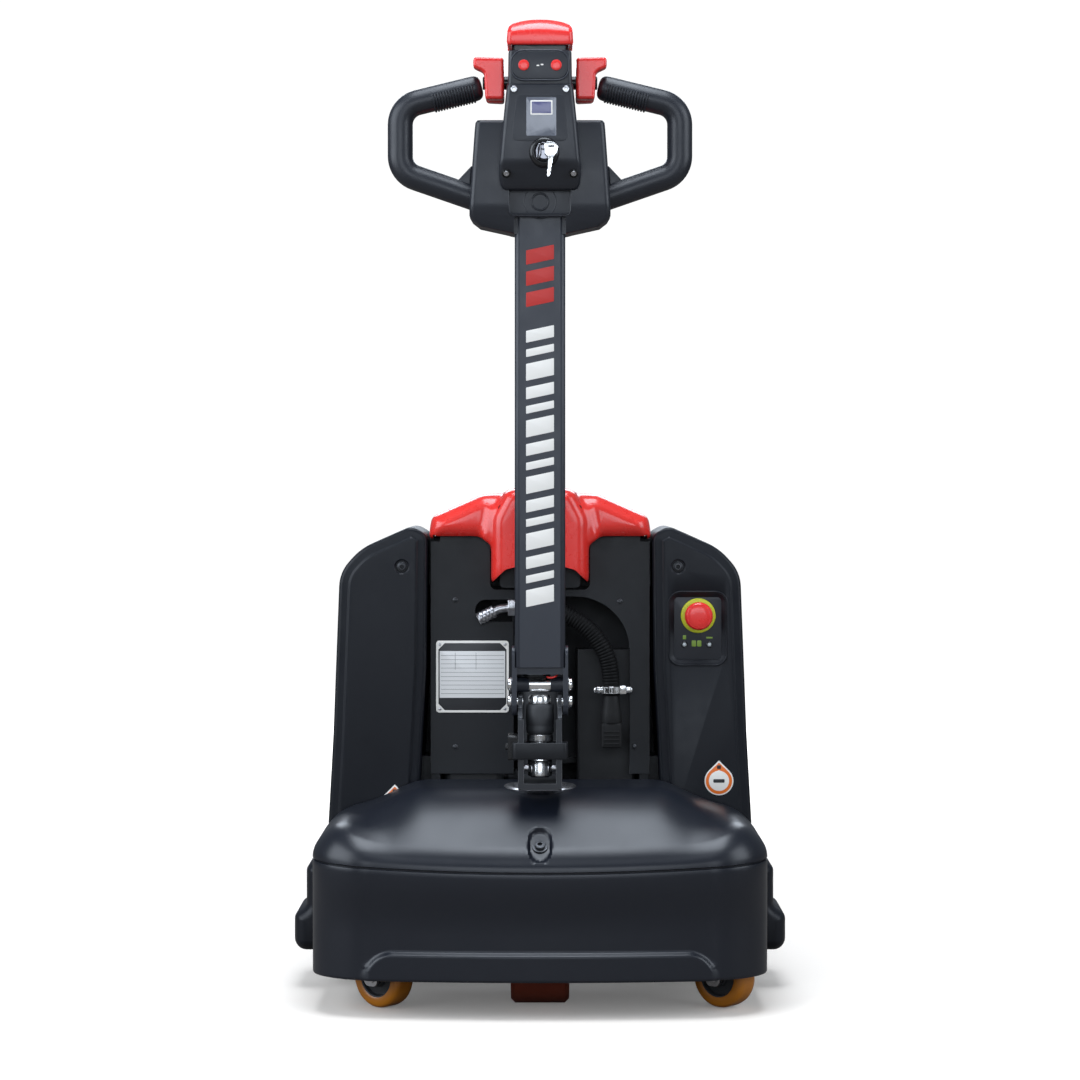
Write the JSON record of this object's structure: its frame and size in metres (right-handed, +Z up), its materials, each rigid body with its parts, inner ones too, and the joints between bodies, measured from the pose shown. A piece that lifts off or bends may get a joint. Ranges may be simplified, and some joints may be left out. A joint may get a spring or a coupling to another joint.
{
  "type": "electric pallet truck",
  "caption": "Walk-behind powered pallet truck with a tilting steering tiller, drive wheel under a moulded cover, swivel casters and forks that rise on load wheels.",
  "frame": {"origin": "on the floor, at the middle of the overall length and width", "axes": "+X to the operator's right, +Y towards the fork tips, +Z up"},
  "size_m": [0.614, 1.55, 1.178],
  "materials": {
    "frame_paint": "satin black powder coat",
    "fork_paint": "satin black paint, worn at the tips",
    "cover_plastic": "satin moulded black",
    "panel_plastic": "fine-grained moulded black",
    "hood_red": "semi-gloss moulded red",
    "head_plastic": "satin moulded black",
    "tiller_paint": "satin dark blue-grey powder coat",
    "control_red": "semi-gloss red",
    "chrome": "polished",
    "zinc_steel": "zinc plated",
    "dark_steel": "blackened",
    "cast_grey": "painted casting",
    "motor_black": "satin",
    "drive_tyre": "polyurethane, red-brown",
    "caster_tyre": "polyurethane, amber",
    "load_tyre": "polyurethane, amber",
    "battery_case": "moulded dark grey",
    "conduit": "corrugated nylon",
    "boot_rubber": "moulded rubber",
    "plate_print": "printed plate",
    "estop_yellow": "yellow-green",
    "button_black": "gloss black",
    "controller_alu": "anodised"
  },
  "bodies": {
    "chassis": {"chassis_frame": "frame_paint", "steer_bearing": "dark_steel", "drive_cover": "cover_plastic", "cover_bolt": "dark_steel", "centre_panel": "frame_paint", "lift_cylinder": "cast_grey", "hydraulic_unit": "motor_black", "motor_controller": "controller_alu", "conduit": "conduit", "conduit_clamp": "zinc_steel", "conduit_boot": "boot_rubber", "hose_fitting": "chrome", "data_plate": "plate_print"},
    "lift_carriage": {"lift_frame": "frame_paint", "fork_right": "fork_paint", "fork_left": "fork_paint", "side_panel_left": "panel_plastic", "side_panel_right": "panel_plastic", "bumper_right": "panel_plastic", "bumper_left": "panel_plastic", "hood": "hood_red", "lift_ram": "chrome", "ram_head": "frame_paint", "estop_base": "estop_yellow", "panel_screws": "dark_steel"},
    "battery": {"battery_case": "battery_case", "battery_handle": "boot_rubber"},
    "lift_rocker": {"rocker": "dark_steel"},
    "rod_right": {"push_rod_right": "dark_steel"},
    "rod_left": {"push_rod_left": "dark_steel"},
    "arm_right": {"load_arm_right": "dark_steel"},
    "arm_left": {"load_arm_left": "dark_steel"},
    "roller_right": {"load_wheel_right": "load_tyre"},
    "roller_left": {"load_wheel_left": "load_tyre"},
    "steering": {"steer_shaft": "zinc_steel", "gear_case": "cast_grey", "drive_motor": "motor_black", "steer_bracket": "dark_steel", "tilt_pins": "zinc_steel", "tilt_sensor": "button_black"},
    "traction_wheel": {"drive_wheel": "drive_tyre"},
    "tiller": {"tiller_tube": "tiller_paint", "tiller_ears": "tiller_paint", "head_housing": "head_plastic", "head_pod": "head_plastic", "button_plate": "button_black", "handle_right": "head_plastic", "handle_left": "head_plastic"},
    "strut_base": {"strut_lower": "chrome"},
    "strut_top": {"strut_upper": "chrome"},
    "throttle_wings": {"throttle": "control_red"},
    "belly_switch": {"belly_button": "control_red"},
    "raise_switch": {"raise_button": "control_red"},
    "lower_switch": {"lower_button": "control_red"},
    "key_switch": {"key": "zinc_steel"},
    "stop_switch": {"estop_button": "control_red"},
    "swivel_left": {"caster_fork_left": "zinc_steel"},
    "swivel_right": {"caster_fork_right": "zinc_steel"},
    "caster_left": {"caster_wheel_left": "caster_tyre"},
    "caster_right": {"caster_wheel_right": "caster_tyre"}
  },
  "joints": [
    {"name": "lift", "type": "slide", "parent": "chassis", "child": "lift_carriage", "axis": [0, 0, 1], "range_m": [0, 0.115]},
    {"name": "battery_out", "type": "slide", "parent": "lift_carriage", "child": "battery", "axis": [0, 0, 1], "range_m": [0, 0.22]},
    {"name": "rocker_pivot", "type": "hinge", "parent": "lift_carriage", "child": "lift_rocker", "pos_m": [0, -0.4, 0.045], "axis": [1, 0, 0], "range_deg": [0, 39.29]},
    {"name": "rod_pivot_right", "type": "hinge", "parent": "lift_rocker", "child": "rod_right", "pos_m": [0.15, -0.39262, 0.06573], "axis": [1, 0, 0], "range_deg": [-39.29, 0]},
    {"name": "load_arm_right", "type": "hinge", "parent": "lift_carriage", "child": "arm_right", "pos_m": [0.205, 0.715, 0.045], "axis": [1, 0, 0], "range_deg": [0, 39.29]},
    {"name": "roller_spin_right", "type": "hinge", "parent": "arm_right", "child": "roller_right", "pos_m": [0.205, 0.53017, 0.037], "axis": [1, 0, 0], "continuous": true},
    {"name": "rod_pivot_left", "type": "hinge", "parent": "lift_rocker", "child": "rod_left", "pos_m": [-0.15, -0.39262, 0.06573], "axis": [1, 0, 0], "range_deg": [-39.29, 0]},
    {"name": "load_arm_left", "type": "hinge", "parent": "lift_carriage", "child": "arm_left", "pos_m": [-0.205, 0.715, 0.045], "axis": [1, 0, 0], "range_deg": [0, 39.29]},
    {"name": "roller_spin_left", "type": "hinge", "parent": "arm_left", "child": "roller_left", "pos_m": [-0.205, 0.53017, 0.037], "axis": [1, 0, 0], "continuous": true},
    {"name": "steer", "type": "hinge", "parent": "chassis", "child": "steering", "pos_m": [0, -0.64, 0.266], "axis": [0, 0, 1], "range_deg": [-90, 90]},
    {"name": "wheel_spin", "type": "hinge", "parent": "steering", "child": "traction_wheel", "pos_m": [0, -0.64, 0.105], "axis": [1, 0, 0], "continuous": true},
    {"name": "tiller_tilt", "type": "hinge", "parent": "steering", "child": "tiller", "pos_m": [0, -0.7, 0.37], "axis": [1, 0, 0], "range_deg": [0, 80], "stiffness_Nm_per_rad": 14, "springref_deg": -34.38},
    {"name": "strut_swing", "type": "hinge", "parent": "steering", "child": "strut_base", "pos_m": [0, -0.7, 0.29], "axis": [1, 0, 0], "range_deg": [0, 14]},
    {"name": "strut_travel", "type": "slide", "parent": "strut_base", "child": "strut_top", "axis": [0, 0, 1], "range_m": [-0.016, 0]},
    {"name": "throttle_turn", "type": "hinge", "parent": "tiller", "child": "throttle_wings", "pos_m": [0, -0.7, 1.105], "axis": [1, 0, 0], "range_deg": [-30, 30], "stiffness_Nm_per_rad": 0.6},
    {"name": "belly_press", "type": "slide", "parent": "tiller", "child": "belly_switch", "axis": [0, 0, -1], "range_m": [0, 0.006], "stiffness_N_per_m": 900, "springref_m": -0.004},
    {"name": "raise_press", "type": "slide", "parent": "tiller", "child": "raise_switch", "axis": [0, 1, 0], "range_m": [0, 0.002], "stiffness_N_per_m": 500, "springref_m": -0.001},
    {"name": "lower_press", "type": "slide", "parent": "tiller", "child": "lower_switch", "axis": [0, 1, 0], "range_m": [0, 0.002], "stiffness_N_per_m": 500, "springref_m": -0.001},
    {"name": "key_turn", "type": "hinge", "parent": "tiller", "child": "key_switch", "pos_m": [0.005, -0.755, 1.017], "axis": [0, 1, 0], "range_deg": [0, 90]},
    {"name": "stop_press", "type": "slide", "parent": "lift_carriage", "child": "stop_switch", "axis": [0, 1, 0], "range_m": [0, 0.005]},
    {"name": "caster_swivel_left", "type": "hinge", "parent": "chassis", "child": "swivel_left", "pos_m": [-0.205, -0.66, 0.14], "axis": [0, 0, 1], "continuous": true},
    {"name": "caster_spin_left", "type": "hinge", "parent": "swivel_left", "child": "caster_left", "pos_m": [-0.18815, -0.67414, 0.0375], "axis": [0.6428, 0.766, 0], "continuous": true},
    {"name": "caster_swivel_right", "type": "hinge", "parent": "chassis", "child": "swivel_right", "pos_m": [0.205, -0.66, 0.14], "axis": [0, 0, 1], "continuous": true},
    {"name": "caster_spin_right", "type": "hinge", "parent": "swivel_right", "child": "caster_right", "pos_m": [0.22185, -0.67414, 0.0375], "axis": [0.6428, 0.766, 0], "continuous": true}
  ],
  "couplings": [
    {"joint": "rocker_pivot", "follows": "lift", "rad_per_m": 5.9483},
    {"joint": "rod_pivot_right", "follows": "lift", "rad_per_m": -5.9483},
    {"joint": "load_arm_right", "follows": "lift", "rad_per_m": 5.9483},
    {"joint": "rod_pivot_left", "follows": "lift", "rad_per_m": -5.9483},
    {"joint": "load_arm_left", "follows": "lift", "rad_per_m": 5.9483},
    {"joint": "strut_swing", "follows": "tiller_tilt", "ratio": 0.16596},
    {"joint": "strut_travel", "follows": "tiller_tilt", "m_per_rad": -0.010195}
  ]
}
